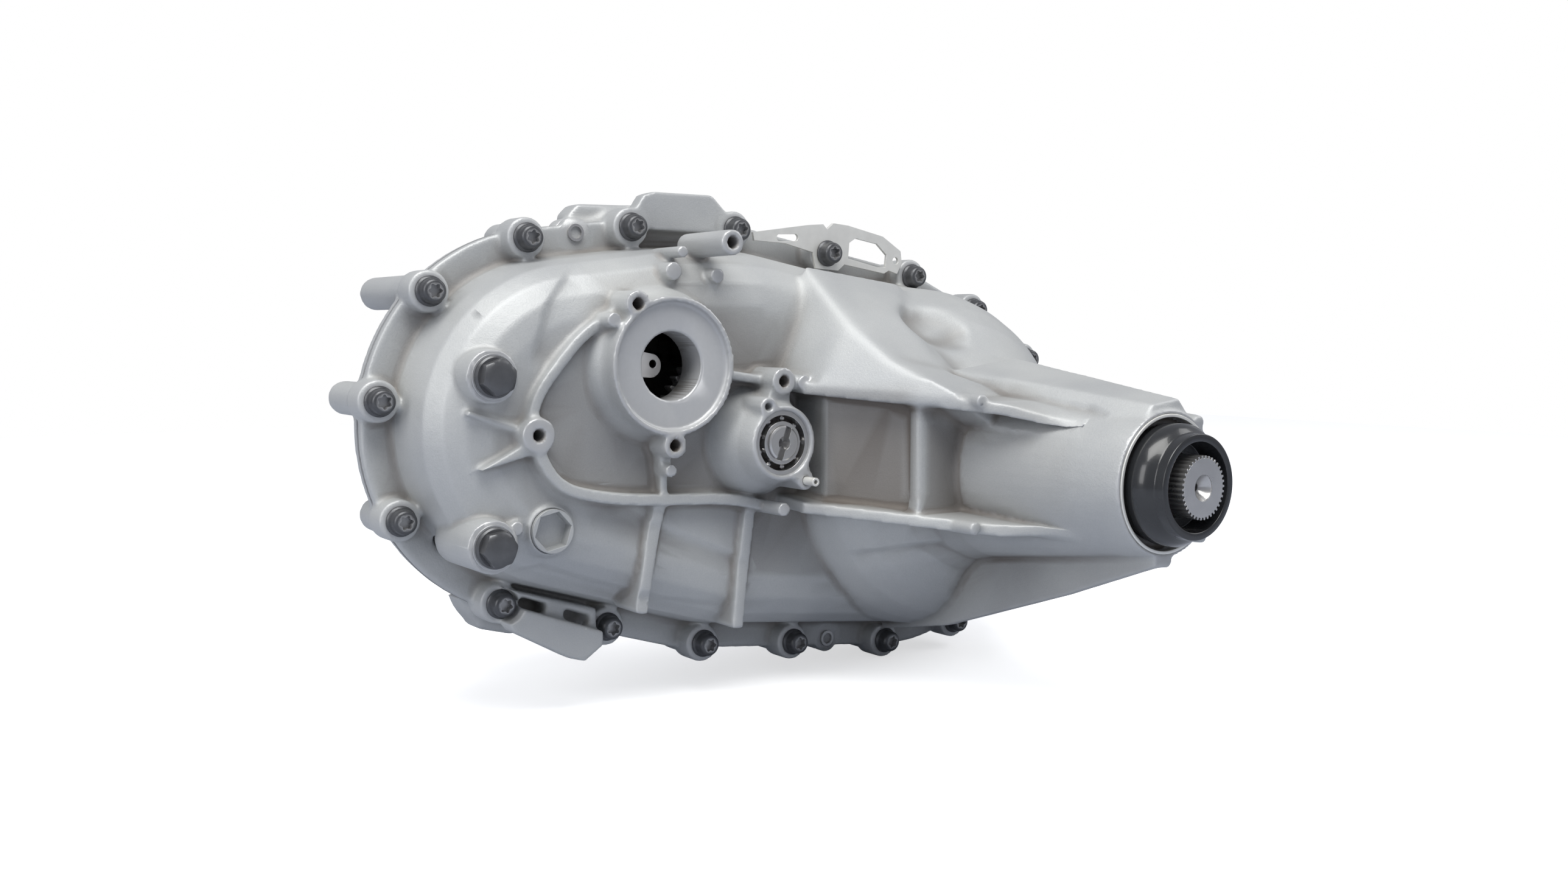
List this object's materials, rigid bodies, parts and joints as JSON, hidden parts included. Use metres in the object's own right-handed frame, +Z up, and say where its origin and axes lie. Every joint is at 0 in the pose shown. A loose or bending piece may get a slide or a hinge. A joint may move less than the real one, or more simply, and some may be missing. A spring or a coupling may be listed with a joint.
{
  "type": "transfer case",
  "caption": "Chain-driven transfer case in two cast halves with a long output nose, clutch, ball-ramp actuator gears and output flange.",
  "frame": {"origin": "centre of the gearbox face on the main shaft's axis", "axes": "+X along the case from the front output to the main shaft, +Y along the shafts towards the gearbox, +Z up"},
  "size_m": [0.507, 0.378, 0.3],
  "materials": {
    "cast_aluminium": "as cast, fine grain",
    "machined_aluminium": "machined",
    "bolt_steel": "black phosphate",
    "steel": "ground",
    "dark_steel": "heat treated",
    "plated_steel": "zinc plated",
    "shield_black": "gloss black",
    "plug_steel": "dark satin",
    "seal_rubber": "matt",
    "sealant": "cured",
    "bronze": "sintered",
    "friction_lining": "paper lining",
    "breather_plastic": "moulded"
  },
  "bodies": {
    "case": {"rear_case": "cast_aluminium", "front_case": "cast_aluminium", "case_sealant": "sealant", "flange_bolts": "bolt_steel", "locating_dowels": "steel", "fill_plug": "plug_steel", "drain_plug": "plug_steel", "fill_washer": "machined_aluminium", "drain_washer": "machined_aluminium", "socket_plug": "machined_aluminium", "harness_bracket": "plated_steel", "port_stud": "plated_steel", "nose_ring": "plated_steel", "rear_bearing_outer": "steel", "front_bearing_outer": "steel", "output_bearing_outer": "steel", "snap_rings": "steel", "rear_seal": "seal_rubber", "input_seal": "seal_rubber", "output_seal": "seal_rubber", "chain": "dark_steel", "ramp_ring": "dark_steel", "ramp_balls": "steel", "reaction_bearing": "steel", "actuator_bearing_outer": "steel", "actuator_bearing_balls": "steel", "actuator_bush": "bronze", "gear_guard": "dark_steel", "output_needle": "steel", "oil_pump_body": "machined_aluminium", "oil_pickup": "breather_plastic", "magnet": "dark_steel", "breather": "breather_plastic"},
    "main_shaft": {"main_shaft": "steel", "dust_shield": "shield_black", "rear_bearing_inner": "steel", "front_bearing_inner": "steel", "clutch_drum": "dark_steel", "steel_plates": "steel", "oil_pump_rotor": "steel"},
    "sprocket_set": {"drive_sprocket": "dark_steel", "sprocket_bushes": "bronze", "clutch_hub": "dark_steel", "friction_plates": "friction_lining", "disc_spring": "steel"},
    "front_output": {"front_output_shaft": "steel", "driven_sprocket": "dark_steel", "front_output_flange": "dark_steel", "flange_nut": "dark_steel", "output_bearing_inner": "steel"},
    "actuator": {"actuator_shaft": "steel", "cam_pinion": "dark_steel", "motor_gear": "dark_steel", "actuator_bearing_inner": "steel"},
    "cam_stage": {"thrust_bearing": "steel"},
    "cam_ring": {"cam_ring": "dark_steel"},
    "pressure_plate": {"pressure_plate": "steel"}
  },
  "joints": [
    {"name": "main_shaft_spin", "type": "hinge", "parent": "case", "child": "main_shaft", "pos_m": [0, -0.098, 0], "axis": [0, 1, 0], "continuous": true},
    {"name": "front_output_spin", "type": "hinge", "parent": "case", "child": "front_output", "pos_m": [-0.23714, -0.098, 0.02158], "axis": [0, 1, 0], "continuous": true, "deforming": ["chain"]},
    {"name": "sprocket_spin", "type": "hinge", "parent": "case", "child": "sprocket_set", "pos_m": [0, -0.098, 0], "axis": [0, 1, 0], "continuous": true},
    {"name": "actuator_turn", "type": "hinge", "parent": "case", "child": "actuator", "pos_m": [-0.13784, -0.098, 0.0179], "axis": [0, 1, 0], "range_deg": [0, 50]},
    {"name": "cam_slide", "type": "slide", "parent": "case", "child": "cam_stage", "axis": [0, -1, 0], "range_m": [0, 0.0014]},
    {"name": "cam_turn", "type": "hinge", "parent": "cam_stage", "child": "cam_ring", "pos_m": [0, -0.098, 0], "axis": [0, 1, 0], "range_deg": [-13.76, 0]},
    {"name": "pressure_slide", "type": "slide", "parent": "main_shaft", "child": "pressure_plate", "axis": [0, -1, 0], "range_m": [0, 0.0014]}
  ],
  "couplings": [
    {"joint": "sprocket_spin", "follows": "front_output_spin", "ratio": 1},
    {"joint": "cam_slide", "follows": "actuator_turn", "m_per_rad": 0.0016043},
    {"joint": "cam_turn", "follows": "actuator_turn", "ratio": -0.27523},
    {"joint": "pressure_slide", "follows": "actuator_turn", "m_per_rad": 0.0016043}
  ]
}
